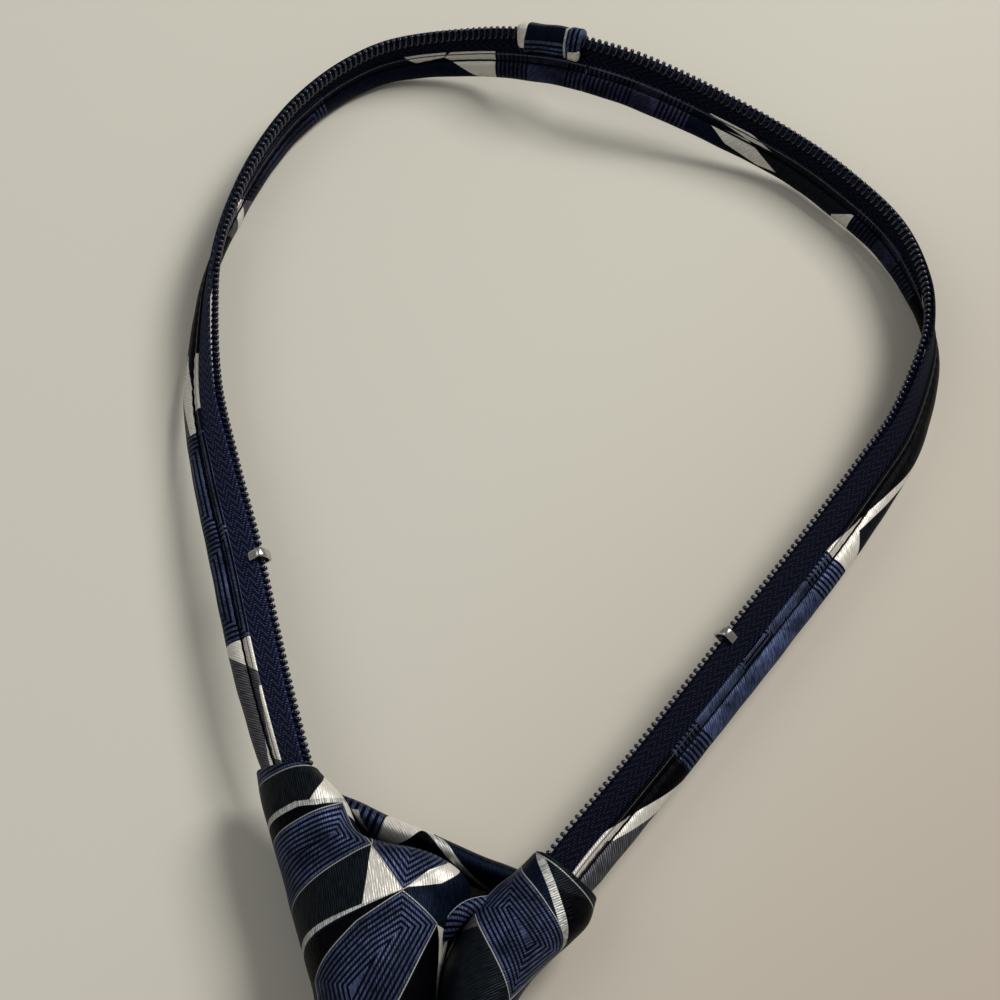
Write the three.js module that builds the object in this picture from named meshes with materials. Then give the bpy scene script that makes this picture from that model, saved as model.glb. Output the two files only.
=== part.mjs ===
// A pre-tied necktie on a zip neck strap, lying face up on a table. Millimetres, +Z up.
// Origin: the point of the table under the middle of the knot; the loop reaches back along +Y,
// the blades run forward along -Y.
import * as THREE from "three";

// Driving sizes, in mm.
const LOOP_SIDE = 80;          // sideways unit of the neck loop, knot middle to its left side
const LOOP_REACH = 212;        // knot middle to the back of the neck loop
const STRAP_LIFT = 15;         // the highest the strap's middle line rises over the table
const COVER_REACH = 6.6;       // cloth cover, from the zip tape to its padded edge
const COVER_HALF = 1.4;        // half the thickness of the padded edge
const SEAM_HALF = 0.6;         // half the thickness in the stitched groove
const FLANGE_HALF = 0.85;      // half the thickness of the flat flange by the tape
const COVER_PINCH = 0.18;      // share of its reach the cover loses as it enters the knot
const PINCH_LONG = 10;         // length over which it does so
const TAPE_REACH = 5.5;        // woven zip tape, from the flange to its free edge
const TAPE_HALF = 0.4;         // half the thickness of the tape
const COIL_TIP = 6.3;          // how far the coil's tips stand from the flange
const COIL_WIDE = 3.0;         // width of the coil
const COIL_TALL = 1.3;         // thickness of the coil
const TOOTH_PITCH = 1.5;       // one coil tooth to the next
const GAP = 0.3;               // clear space kept between pieces
const COIL_GAP = 0.45;         // clear space between tape and coil
const STRAP_STEP = 7.4;        // spacing of the cloth and tape sections along the strap
const STOP_WALL = 0.6;         // metal of the zip stops
const STOP_LONG = 1.7;         // size of a zip stop along the tape
const TAB_WALL = 0.8;          // cloth of the keeper tab
const TAB_LONG = 14.8;         // size of the keeper tab along the strap
const TAB_HEM = 2.8;           // the second wrap at the tab's right end
const KNOT_HALF = 35;          // half the width of the knot over its shoulders
const KNOT_DROP = 31;          // origin to the knot's lower lip
const KNOT_RISE = 24;          // height of the knot over the table
const SLEEVE_WALL = 0.9;       // cloth round the strap at the knot's two mouths
const LEFT_MOUTH_DEEP = 5.2;   // depth of the left mouth
const RIGHT_MOUTH_DEEP = 7;    // depth of the right mouth
const BAND_HALF = 2.6;         // half the thickness of the roll behind the knot
const BAND_RISE = 15;          // height of that roll
const FRONT_LONG = 480;        // front blade, knot to point
const FRONT_HALF = 41;         // half the width of the front blade at its widest
const FRONT_DEEP = 12.5;       // thickness of the front blade where it leaves the knot
const TAIL_LONG = 330;         // tail blade, knot to point
const TAIL_HALF = 15;          // half the width of the tail blade
const TAIL_DEEP = 2.6;         // thickness of the tail blade
const TAIL_SHARE = TAIL_LONG / FRONT_LONG;

// Tables of stations: lengths are shares of the sizes above, roll is in degrees.
// Middle line of the strap from inside the left mouth, round the back, to the right mouth.
// x of LOOP_SIDE, y of LOOP_REACH, z of STRAP_LIFT; roll 0 lies flat, 90 stands with the coil up.
const STRAP_ROWS = [
  { x: -0.398, y: 0.103, z: 0.88, roll: 50 },
  { x: -0.428, y: 0.123, z: 0.86, roll: 47 },
  { x: -0.505, y: 0.180, z: 0.83, roll: 40 },
  { x: -0.580, y: 0.240, z: 0.80, roll: 34 },
  { x: -0.685, y: 0.330, z: 0.76, roll: 34 },
  { x: -0.797, y: 0.420, z: 0.68, roll: 42 },
  { x: -0.900, y: 0.515, z: 0.56, roll: 54 },
  { x: -0.960, y: 0.625, z: 0.49, roll: 72 },
  { x: -0.970, y: 0.690, z: 0.47, roll: 83 },
  { x: -0.944, y: 0.766, z: 0.46, roll: 93 },
  { x: -0.900, y: 0.831, z: 0.45, roll: 97 },
  { x: -0.834, y: 0.888, z: 0.45, roll: 99 },
  { x: -0.727, y: 0.942, z: 0.45, roll: 102 },
  { x: -0.591, y: 0.979, z: 0.47, roll: 108 },
  { x: -0.350, y: 0.999, z: 0.59, roll: 120 },
  { x: -0.140, y: 0.992, z: 0.85, roll: 134 },
  { x: 0.005, y: 0.981, z: 0.96, roll: 140 },
  { x: 0.150, y: 0.972, z: 0.91, roll: 141 },
  { x: 0.361, y: 0.956, z: 0.68, roll: 133 },
  { x: 0.614, y: 0.926, z: 0.46, roll: 123 },
  { x: 0.775, y: 0.890, z: 0.43, roll: 123 },
  { x: 0.939, y: 0.838, z: 0.44, roll: 117 },
  { x: 1.045, y: 0.773, z: 0.46, roll: 101 },
  { x: 1.086, y: 0.715, z: 0.51, roll: 82 },
  { x: 1.080, y: 0.665, z: 0.58, roll: 68 },
  { x: 1.038, y: 0.590, z: 0.68, roll: 54 },
  { x: 0.972, y: 0.530, z: 0.75, roll: 42 },
  { x: 0.868, y: 0.447, z: 0.80, roll: 33 },
  { x: 0.714, y: 0.335, z: 0.82, roll: 33 },
  { x: 0.518, y: 0.194, z: 0.84, roll: 39 },
  { x: 0.425, y: 0.130, z: 0.86, roll: 40 },
  { x: 0.362, y: 0.088, z: 0.87, roll: 38 },
  { x: 0.325, y: 0.060, z: 0.88, roll: 38 },
  { x: 0.302, y: 0.038, z: 0.88, roll: 38 },
];
const TAB_MIDDLE = 0.4645;     // share of the strap's length at the middle of the keeper tab
const COVER_JOINT = 0.483;     // share at which the two covers meet
const LEFT_STOP = 0.0973;      // share at the left zip stop
const RIGHT_STOP = 0.8745;     // share at the right zip stop

// Left part of the knot, mouth to lower lip. Left and right edge of every section:
// x of KNOT_HALF, y of KNOT_DROP, z of KNOT_RISE; crown and belly are its depths, of KNOT_RISE.
const FRONT_ROWS = [
  { lx: -1.097, ly: 0.765, lz: 0.33, rx: -0.785, ry: 0.79, rz: 0.79, crown: 0.19, belly: 0.19 },
  { lx: -1.030, ly: 0.58, lz: 0.34, rx: -0.610, ry: 0.64, rz: 0.77, crown: 0.27, belly: 0.27 },
  { lx: -0.960, ly: 0.40, lz: 0.36, rx: -0.470, ry: 0.45, rz: 0.68, crown: 0.32, belly: 0.38 },
  { lx: -0.875, ly: 0.20, lz: 0.37, rx: -0.250, ry: 0.40, rz: 0.67, crown: 0.38, belly: 0.54 },
  { lx: -0.815, ly: 0.05, lz: 0.38, rx: 0.010, ry: 0.38, rz: 0.63, crown: 0.43, belly: 0.62 },
  { lx: -0.770, ly: -0.07, lz: 0.39, rx: 0.200, ry: 0.26, rz: 0.58, crown: 0.46, belly: 0.66 },
  { lx: -0.708, ly: -0.20, lz: 0.40, rx: 0.185, ry: 0.03, rz: 0.58, crown: 0.48, belly: 0.68 },
  { lx: -0.605, ly: -0.42, lz: 0.41, rx: 0.125, ry: -0.22, rz: 0.58, crown: 0.48, belly: 0.66 },
  { lx: -0.517, ly: -0.62, lz: 0.42, rx: 0.130, ry: -0.48, rz: 0.57, crown: 0.45, belly: 0.60 },
  { lx: -0.480, ly: -0.82, lz: 0.42, rx: 0.145, ry: -0.76, rz: 0.55, crown: 0.41, belly: 0.52 },
  { lx: -0.468, ly: -0.98, lz: 0.42, rx: 0.150, ry: -0.98, rz: 0.52, crown: 0.37, belly: 0.46 },
];
// Right wing of the knot, mouth to lower lip, with the same columns.
const WING_ROWS = [
  { lx: 0.555, ly: 0.490, lz: 0.76, rx: 0.905, ry: 0.320, rz: 0.37, crown: 0.18, belly: 0.18 },
  { lx: 0.470, ly: 0.370, lz: 0.70, rx: 0.885, ry: 0.170, rz: 0.36, crown: 0.25, belly: 0.27 },
  { lx: 0.340, ly: 0.240, lz: 0.63, rx: 0.812, ry: 0.030, rz: 0.37, crown: 0.32, belly: 0.37 },
  { lx: 0.238, ly: 0.080, lz: 0.57, rx: 0.728, ry: -0.100, rz: 0.38, crown: 0.37, belly: 0.49 },
  { lx: 0.185, ly: -0.100, lz: 0.53, rx: 0.645, ry: -0.240, rz: 0.39, crown: 0.38, belly: 0.50 },
  { lx: 0.156, ly: -0.300, lz: 0.52, rx: 0.578, ry: -0.400, rz: 0.40, crown: 0.38, belly: 0.50 },
  { lx: 0.162, ly: -0.550, lz: 0.52, rx: 0.518, ry: -0.620, rz: 0.41, crown: 0.37, belly: 0.49 },
  { lx: 0.167, ly: -0.790, lz: 0.50, rx: 0.500, ry: -0.820, rz: 0.42, crown: 0.35, belly: 0.42 },
  { lx: 0.163, ly: -0.980, lz: 0.48, rx: 0.485, ry: -0.980, rz: 0.42, crown: 0.32, belly: 0.42 },
];
// Roll of cloth seen in the V behind the knot: x of KNOT_HALF, y of KNOT_DROP, tall of BAND_RISE.
const BAND_ROWS = [
  { x: -0.500, y: 0.625, tall: 0.80 },
  { x: -0.330, y: 0.562, tall: 0.92 },
  { x: -0.120, y: 0.502, tall: 1.00 },
  { x: 0.090, y: 0.442, tall: 0.98 },
  { x: 0.260, y: 0.388, tall: 0.92 },
  { x: 0.350, y: 0.380, tall: 0.84 },
];
// Front blade: down of FRONT_LONG, half of FRONT_HALF; mid, thick and dip of FRONT_DEEP.
// It lies on the tail as far as TAIL_SHARE, then sinks to the table.
const FRONT_BLADE_ROWS = [
  { down: 0.000, half: 0.37, mid: 0.848, thick: 1.000, dip: 0.200 },
  { down: 0.030, half: 0.42, mid: 0.784, thick: 0.880, dip: 0.224 },
  { down: 0.080, half: 0.48, mid: 0.640, thick: 0.608, dip: 0.176 },
  { down: 0.150, half: 0.54, mid: 0.520, thick: 0.416, dip: 0.088 },
  { down: 0.250, half: 0.61, mid: 0.448, thick: 0.320, dip: 0.024 },
  { down: 0.450, half: 0.75, mid: 0.416, thick: 0.272, dip: 0.000 },
  { down: TAIL_SHARE - 0.07, half: 0.86, mid: 0.408, thick: 0.264, dip: 0.000 },
  { down: TAIL_SHARE, half: 0.91, mid: 0.372, thick: 0.256, dip: 0.000 },
  { down: TAIL_SHARE + 0.06, half: 0.94, mid: 0.180, thick: 0.256, dip: 0.000 },
  { down: TAIL_SHARE + 0.11, half: 0.96, mid: 0.128, thick: 0.256, dip: 0.000 },
  { down: 0.915, half: 1.00, mid: 0.128, thick: 0.256, dip: 0.000 },
];
// Tail blade: down of TAIL_LONG, half of TAIL_HALF; mid, thick and dip of TAIL_DEEP.
const TAIL_BLADE_ROWS = [
  { down: 0.000, half: 0.66, mid: 0.5, thick: 1.0, dip: 0.0 },
  { down: 0.200, half: 0.78, mid: 0.5, thick: 1.0, dip: 0.0 },
  { down: 0.600, half: 0.92, mid: 0.5, thick: 1.0, dip: 0.0 },
  { down: 0.954, half: 1.00, mid: 0.5, thick: 1.0, dip: 0.0 },
];

// Curves.
const v3 = (x, y, z) => new THREE.Vector3(x, y, z);

// Smooth values between table rows: a cubic through the rows, even in the running length `at`.
function between(at, rows, s) {
  let k = 0;
  while (k < rows.length - 2 && s > at[k + 1]) k += 1;
  const span = at[k + 1] - at[k];
  const t = (s - at[k]) / span;
  return rows[k].map((value, c) => {
    const next = rows[k + 1][c];
    const here = k > 0 ? (next - rows[k - 1][c]) / (at[k + 1] - at[k - 1]) : (next - value) / span;
    const there = k < rows.length - 2
      ? (rows[k + 2][c] - value) / (at[k + 2] - at[k])
      : (next - value) / span;
    const a = 2 * t ** 3 - 3 * t ** 2 + 1;
    const b = t ** 3 - 2 * t ** 2 + t;
    const d = t ** 3 - t ** 2;
    return a * value + b * span * here + (1 - a) * next + d * span * there;
  });
}

const strapValues = STRAP_ROWS.map((r) => [
  r.x * LOOP_SIDE, r.y * LOOP_REACH, r.z * STRAP_LIFT, r.roll,
]);
const strapAt = [0];
for (let k = 1; k < strapValues.length; k += 1) {
  const [a, b] = [strapValues[k - 1], strapValues[k]];
  strapAt.push(strapAt[k - 1] + Math.hypot(b[0] - a[0], b[1] - a[1], b[2] - a[2]));
}
const STRAP_LONG = strapAt[strapAt.length - 1];

// Place on the strap: middle point, direction across towards the coil, and the front's normal.
function strapFrame(s) {
  const here = between(strapAt, strapValues, s);
  const back = between(strapAt, strapValues, Math.max(s - 1.5, 0));
  const on = between(strapAt, strapValues, Math.min(s + 1.5, STRAP_LONG));
  const run = v3(on[0] - back[0], on[1] - back[1], on[2] - back[2]).normalize();
  const inward = run.clone().cross(v3(0, 0, 1)).normalize();
  const up = inward.clone().cross(run).normalize();
  const roll = THREE.MathUtils.degToRad(here[3]);
  const across = inward.clone().multiplyScalar(Math.cos(roll)).addScaledVector(up, Math.sin(roll));
  const face = up.clone().multiplyScalar(Math.cos(roll)).addScaledVector(inward, -Math.sin(roll));
  return { mid: v3(here[0], here[1], here[2]), run, across, face };
}

// Solids.
// Closed body through rings of equally many points; both end rings are filled.
function loft(rings, capPlan) {
  const count = rings[0].length;
  const points = rings.flat();
  const faces = [];
  for (let r = 0; r < rings.length - 1; r += 1) {
    for (let k = 0; k < count; k += 1) {
      const a = r * count + k;
      const b = r * count + (k + 1) % count;
      faces.push([a, b, b + count], [a, b + count, a + count]);
    }
  }
  const plan = capPlan ?? rings[0].map((p, k) => [
    Math.cos((2 * Math.PI * k) / count), Math.sin((2 * Math.PI * k) / count),
  ]);
  const flat = plan.map(([x, y]) => new THREE.Vector2(x, y));
  const turned = THREE.ShapeUtils.isClockWise(flat);
  const last = (rings.length - 1) * count;
  for (const [a, b, c] of THREE.ShapeUtils.triangulateShape(flat, [])) {
    const cap = turned ? [a, b, c] : [a, c, b];
    faces.push(cap);
    faces.push([last + cap[0], last + cap[2], last + cap[1]]);
  }
  let volume = 0;
  for (const [a, b, c] of faces) {
    volume += points[a].dot(points[b].clone().cross(points[c]));
  }
  const geometry = new THREE.BufferGeometry();
  geometry.setAttribute("position", new THREE.Float32BufferAttribute(
    points.flatMap((p) => [p.x, p.y, p.z]), 3));
  geometry.setIndex(faces.flatMap((f) => (volume > 0 ? f : [f[0], f[2], f[1]])));
  geometry.computeVertexNormals();
  return geometry;
}

// Body swept along the strap; `section(i)` gives [across, out of the front] pairs.
function sweep(stations, section) {
  const rings = stations.map((s, i) => {
    const { mid, across, face } = strapFrame(s);
    return section(i).map(([q, f]) => mid.clone().addScaledVector(across, q).addScaledVector(face, f));
  });
  return loft(rings, section(0));
}

function evenly(from, to, step) {
  const n = Math.max(1, Math.round((to - from) / step));
  return Array.from({ length: n + 1 }, (_, k) => from + ((to - from) * k) / n);
}

// Cloth cover: round padded edge, stitched groove, flat flange.
const coverHalf = [
  [-COVER_REACH * 0.93, COVER_HALF * 0.62],
  [-COVER_REACH * 0.76, COVER_HALF],
  [-COVER_REACH * 0.52, COVER_HALF * 0.96],
  [-COVER_REACH * 0.36, SEAM_HALF * 1.4],
  [-COVER_REACH * 0.29, SEAM_HALF],
  [-COVER_REACH * 0.21, FLANGE_HALF],
  [0, FLANGE_HALF * 0.94],
];
const coverSection = [
  [-COVER_REACH, 0],
  ...coverHalf,
  ...coverHalf.slice().reverse().map(([q, f]) => [q, -f]),
];
function cover(from, to) {
  const stations = evenly(from, to, STRAP_STEP);
  return sweep(stations, (i) => {
    const inside = Math.min(stations[i], STRAP_LONG - stations[i]) / PINCH_LONG;
    const reach = 1 - COVER_PINCH * (1 - THREE.MathUtils.smoothstep(inside, 0, 1));
    return coverSection.map(([q, f]) => [q * reach, f]);
  });
}

const tapeSection = [
  [GAP, TAPE_HALF], [TAPE_REACH, TAPE_HALF], [TAPE_REACH, -TAPE_HALF], [GAP, -TAPE_HALF],
];
const tape = (from, to) => sweep(evenly(from, to, STRAP_STEP), () => tapeSection);

// Coil under the tape's free edge: a thick section at every tooth, a thin one between.
function coil(from, to) {
  const teeth = Math.round((to - from) / TOOTH_PITCH);
  const stations = evenly(from, to, (to - from) / (2 * teeth));
  const near = -(TAPE_HALF + COIL_GAP);
  return sweep(stations, (i) => {
    const full = i % 2 === 1;
    const tip = full ? COIL_TIP : COIL_TIP - 0.6;
    const root = COIL_TIP - COIL_WIDE + (full ? 0 : 0.3);
    const deep = near - (full ? COIL_TALL : COIL_TALL - 0.5);
    return [[root, near], [tip, near], [tip - 0.25, deep], [root + 0.35, deep]];
  });
}

// Zip stop: a strip of metal bent over the coil edge.
function stop(middle) {
  const top = TAPE_HALF + GAP;
  const low = -(TAPE_HALF + COIL_GAP + COIL_TALL + GAP);
  const nose = COIL_TIP + GAP;
  const root = COIL_TIP - COIL_WIDE + 0.4;
  const section = [
    [root, top], [nose, top], [nose, low], [root, low],
    [root, low - STOP_WALL], [nose + STOP_WALL * 0.5, low - STOP_WALL],
    [nose + STOP_WALL, low - STOP_WALL * 0.3],
    [nose + STOP_WALL, top + STOP_WALL * 0.3],
    [nose + STOP_WALL * 0.5, top + STOP_WALL], [root, top + STOP_WALL],
  ];
  return sweep([middle - STOP_LONG / 2, middle + STOP_LONG / 2], () => section);
}

// Keeper tab: cloth folded over the tape and coil, with a second wrap at its right end.
function keeper(middle) {
  const stations = [
    middle - TAB_LONG / 2, middle - TAB_LONG / 4, middle, middle + TAB_LONG / 4,
    middle + TAB_LONG / 2 - TAB_HEM, middle + TAB_LONG / 2 - TAB_HEM + 0.4, middle + TAB_LONG / 2,
  ];
  const top = TAPE_HALF + GAP;
  const low = -(TAPE_HALF + COIL_GAP + COIL_TALL + GAP);
  const nose = COIL_TIP + GAP;
  return sweep(stations, (i) => {
    const w = i > 4 ? TAB_WALL * 1.5 : TAB_WALL;
    return [
      [0.5, top], [nose, top], [nose, low], [COIL_TIP - COIL_WIDE - 0.2, low], [0.5, -top],
      [0.5, -top - w], [COIL_TIP - COIL_WIDE - 0.6, low - w],
      [nose + w * 0.4, low - w], [nose + w, low - w * 0.2],
      [nose + w, top + w * 0.2], [nose + w * 0.4, top + w], [0.5, top + w],
    ];
  });
}

// Rounded ring between a left and a right edge point, crown above and belly below the chord;
// what would pass through the table lies flat on it.
function padRing(left, right, crown, belly, count, square) {
  const mid = left.clone().add(right).multiplyScalar(0.5);
  const half = left.distanceTo(right) / 2;
  const side = right.clone().sub(left).normalize();
  const lift = v3(0, 0, 1).addScaledVector(side, -side.z).normalize();
  return Array.from({ length: count }, (_, k) => {
    const a = (2 * Math.PI * k) / count;
    const u = Math.sign(Math.cos(a)) * Math.abs(Math.cos(a)) ** (2 / square);
    const w = Math.sign(Math.sin(a)) * Math.abs(Math.sin(a)) ** (2 / square);
    const p = mid.clone().addScaledVector(side, half * u);
    p.addScaledVector(lift, w * (w > 0 ? crown : belly));
    p.z = Math.max(p.z, 0);
    return p;
  });
}

// Padded part of the knot: a blind mouth for the strap, then sections down to the lower lip.
function knotPart(rows, steps, into, deep) {
  const values = rows.map((r) => [
    r.lx * KNOT_HALF, r.ly * KNOT_DROP, r.lz * KNOT_RISE,
    r.rx * KNOT_HALF, r.ry * KNOT_DROP, r.rz * KNOT_RISE,
    r.crown * KNOT_RISE, r.belly * KNOT_RISE,
  ]);
  const at = [0];
  for (let k = 1; k < values.length; k += 1) {
    const [a, b] = [values[k - 1], values[k]];
    at.push(at[k - 1] + Math.hypot(b[0] + b[3] - a[0] - a[3], b[1] + b[4] - a[1] - a[4]) / 2);
  }
  const long = at[at.length - 1];
  const make = (s, inset) => {
    const [lx, ly, lz, rx, ry, rz, crown, belly] = between(at, values, s);
    const left = v3(lx, ly, lz);
    const right = v3(rx, ry, rz);
    const side = right.clone().sub(left).normalize();
    left.addScaledVector(side, inset);
    right.addScaledVector(side, -inset);
    return padRing(left, right, crown - inset, belly - inset, 20, inset > 0 ? 3.4 : 2.4);
  };
  const rings = [];
  const mouth = make(0, SLEEVE_WALL);
  rings.push(mouth.map((p) => p.clone().addScaledVector(into, deep)));
  rings.push(mouth);
  for (let k = 0; k <= steps; k += 1) {
    rings.push(make((long * k) / steps, 0));
  }
  const last = rings[rings.length - 1];
  const hub = last.reduce((sum, p) => sum.add(p), v3(0, 0, 0)).divideScalar(last.length);
  rings.push(last.map((p) => p.clone().lerp(hub, 0.06).add(v3(0, -0.5, 0))));
  rings.push(last.map((p) => p.clone().lerp(hub, 0.2).add(v3(0, -0.62, 0))));
  return loft(rings);
}

// Roll of cloth that closes the V behind the knot.
function backBand() {
  const values = BAND_ROWS.map((r) => [r.x * KNOT_HALF, r.y * KNOT_DROP, r.tall * BAND_RISE]);
  const at = values.map((_, k) => k);
  const rings = evenly(0, values.length - 1, 0.5).map((s) => {
    const [x, y, tall] = between(at, values, s);
    return Array.from({ length: 10 }, (_, k) => {
      const a = (2 * Math.PI * k) / 10;
      return v3(x, y + BAND_HALF * Math.cos(a), 0.3 + tall / 2 + (tall / 2) * Math.sin(a));
    });
  });
  return loft(rings);
}

// Flat folded blade ending in a point; its middle dips near the knot.
function blade(rows, long, wide, deep, swing, step) {
  const shoulder = rows[rows.length - 1].down;
  const point = 1 - shoulder;
  const values = rows.map((r) => [r.half * wide, r.mid * deep, r.thick * deep, r.dip * deep]);
  const at = rows.map((r) => r.down);
  const downs = evenly(0, shoulder, step);
  for (const share of [0.25, 0.5, 0.75, 0.97]) downs.push(shoulder + point * share);
  const rings = downs.map((d) => {
    const [half, mid, thick, dip] = between(at, values, Math.min(d, shoulder));
    const narrow = d > shoulder ? (1 - d) / point : 1;
    const x = swing * Math.sin((Math.PI / 2) * d);
    const ring = [];
    for (const [u, w] of [
      [-1, 0], [-0.96, 0.8], [-0.6, 1], [-0.25, 1], [0, 1], [0.25, 1], [0.6, 1], [0.96, 0.8],
      [1, 0], [0.96, -0.8], [0.5, -1], [0, -1], [-0.5, -1], [-0.96, -0.8],
    ]) {
      const sink = w > 0 ? dip * Math.exp(-((u / 0.3) ** 2)) : 0;
      const z = Math.max(mid + (thick / 2) * w - sink, 0);
      ring.push(v3(x + half * narrow * u, -KNOT_DROP - 0.4 - long * d, z));
    }
    return ring;
  });
  return loft(rings);
}

// The object.
const tab = TAB_MIDDLE * STRAP_LONG;
const joint = COVER_JOINT * STRAP_LONG;
const looks = {
  cloth: { color: 0x2d3560, roughness: 0.55, metalness: 0 },
  tape: { color: 0x0e1430, roughness: 0.85, metalness: 0 },
  coil: { color: 0x1a2140, roughness: 0.4, metalness: 0 },
  metal: { color: 0xb9bcc0, roughness: 0.3, metalness: 1 },
};

const group = new THREE.Group();
group.name = "zipper_tie";
function add(name, geometry, look) {
  const mesh = new THREE.Mesh(geometry, new THREE.MeshStandardMaterial(looks[look]));
  mesh.name = name;
  group.add(mesh);
}
add("strap_cover_left", cover(0, joint - GAP / 2), "cloth");
add("strap_cover_right", cover(joint + GAP / 2, STRAP_LONG), "cloth");
add("tape_left", tape(0, tab - GAP / 2), "tape");
add("tape_right", tape(tab + GAP / 2, STRAP_LONG), "tape");
add("coil_left", coil(0, tab - GAP / 2), "coil");
add("coil_right", coil(tab + GAP / 2, STRAP_LONG), "coil");
add("stop_left", stop(LEFT_STOP * STRAP_LONG), "metal");
add("stop_right", stop(RIGHT_STOP * STRAP_LONG), "metal");
add("keeper_tab", keeper(tab), "cloth");
add("knot_front", knotPart(FRONT_ROWS, 22, strapFrame(0).run.negate(), LEFT_MOUTH_DEEP), "cloth");
add("knot_right_wing", knotPart(WING_ROWS, 18, strapFrame(STRAP_LONG).run, RIGHT_MOUTH_DEEP), "cloth");
add("knot_back_band", backBand(), "cloth");
add("front_blade", blade(FRONT_BLADE_ROWS, FRONT_LONG, FRONT_HALF, FRONT_DEEP, -5, 0.05), "cloth");
add("tail_blade", blade(TAIL_BLADE_ROWS, TAIL_LONG, TAIL_HALF, TAIL_DEEP, -3, 0.1), "cloth");

export default group;
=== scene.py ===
"""Looks of the zipper tie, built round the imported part.
Lengths are in metres, cloth maps in millimetres."""

import bpy
import numpy as np
from mathutils import Matrix, Vector


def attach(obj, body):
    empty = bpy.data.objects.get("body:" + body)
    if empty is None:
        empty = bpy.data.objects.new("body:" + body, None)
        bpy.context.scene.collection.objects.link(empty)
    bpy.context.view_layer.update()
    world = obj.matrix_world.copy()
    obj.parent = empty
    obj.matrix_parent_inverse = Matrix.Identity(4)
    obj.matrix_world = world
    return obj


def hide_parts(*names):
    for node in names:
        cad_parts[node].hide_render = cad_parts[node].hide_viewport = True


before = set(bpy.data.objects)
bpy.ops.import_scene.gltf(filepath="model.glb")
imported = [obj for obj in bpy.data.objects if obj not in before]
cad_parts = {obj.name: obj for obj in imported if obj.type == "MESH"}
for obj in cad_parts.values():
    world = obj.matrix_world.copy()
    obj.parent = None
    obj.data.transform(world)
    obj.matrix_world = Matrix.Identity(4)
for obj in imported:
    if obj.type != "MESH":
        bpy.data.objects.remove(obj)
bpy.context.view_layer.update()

# Zip tape: a woven nylon ribbon that runs once round the neck, from one side of the knot to the other.
# Its middle line is a smooth curve through stations that also say how far the ribbon leans there.
# It is sewn into the cloth cover's edge, so its hidden edge goes a little way into that.
LOOP = np.array([0.080, 0.212, 0.015, 1.0])
STRAP_ROWS = LOOP * np.array([
    (-0.398, 0.103, 0.88, 50), (-0.428, 0.123, 0.86, 47), (-0.505, 0.180, 0.83, 40),
    (-0.580, 0.240, 0.80, 34), (-0.685, 0.330, 0.76, 34), (-0.797, 0.420, 0.68, 42),
    (-0.900, 0.515, 0.56, 54), (-0.960, 0.625, 0.49, 72), (-0.970, 0.690, 0.47, 83),
    (-0.944, 0.766, 0.46, 93), (-0.900, 0.831, 0.45, 97), (-0.834, 0.888, 0.45, 99),
    (-0.727, 0.942, 0.45, 102), (-0.591, 0.979, 0.47, 108), (-0.350, 0.999, 0.59, 120),
    (-0.140, 0.992, 0.85, 134), (0.005, 0.981, 0.96, 140), (0.150, 0.972, 0.91, 141),
    (0.361, 0.956, 0.68, 133), (0.614, 0.926, 0.46, 123), (0.775, 0.890, 0.43, 123),
    (0.939, 0.838, 0.44, 117), (1.045, 0.773, 0.46, 101), (1.086, 0.715, 0.51, 82),
    (1.080, 0.665, 0.58, 68), (1.038, 0.590, 0.68, 54), (0.972, 0.530, 0.75, 42),
    (0.868, 0.447, 0.80, 33), (0.714, 0.335, 0.82, 33), (0.518, 0.194, 0.84, 39),
    (0.425, 0.130, 0.86, 40), (0.362, 0.088, 0.87, 38), (0.325, 0.060, 0.88, 38),
    (0.302, 0.038, 0.88, 38),
])
chords = np.linalg.norm(np.diff(STRAP_ROWS[:, :3], axis=0), axis=1)
STRAP_AT = np.concatenate([[0.0], np.cumsum(chords)])
STRAP_LONG = STRAP_AT[-1]
TAB_AT = 0.4645 * STRAP_LONG
TAPE_EDGE = 0.0055
TAPE_SEAM = 0.0011
TAPE_HALF = 0.0004
TAPE_STEP = 0.0012
PARTING = 0.00015
REACH = 0.0015
HERRING_LEG = 1.4
HERRING_ROW = 0.55
BEAD_HALF = 0.28
# Tape colours: a dark ground, and the same ground painted paler as painted sheen on the left half.
TAPE_DARK = (0.0012, 0.0018, 0.0065)
TAPE_SHEEN_LIT = (0.0052, 0.0074, 0.0250)
# Painted glints on the weave's raised beads: a dim strength, and a brighter one for the painted-sheen left
# half.
BEAD_GLINT = (0.052, 0.060, 0.125)
BEAD_GLINT_SHEEN_LIT = (0.250, 0.285, 0.530)


def smooth_rows(at, rows, s):
    """Cubic between rows: each end keeps its row's value and the slope of the chord between its two
    neighbours."""
    k = np.clip(np.searchsorted(at, s, side="right") - 1, 0, len(at) - 2)
    slope = np.empty_like(rows)
    slope[1:-1] = (rows[2:] - rows[:-2]) / (at[2:] - at[:-2])[:, None]
    slope[0] = (rows[1] - rows[0]) / (at[1] - at[0])
    slope[-1] = (rows[-1] - rows[-2]) / (at[-1] - at[-2])
    span = (at[k + 1] - at[k])[:, None]
    t = (s - at[k])[:, None] / span
    first = 2 * t**3 - 3 * t**2 + 1
    bend = (t**3 - 2 * t**2 + t) * span * slope[k] + (t**3 - t**2) * span * slope[k + 1]
    return first * rows[k] + (1 - first) * rows[k + 1] + bend


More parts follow.
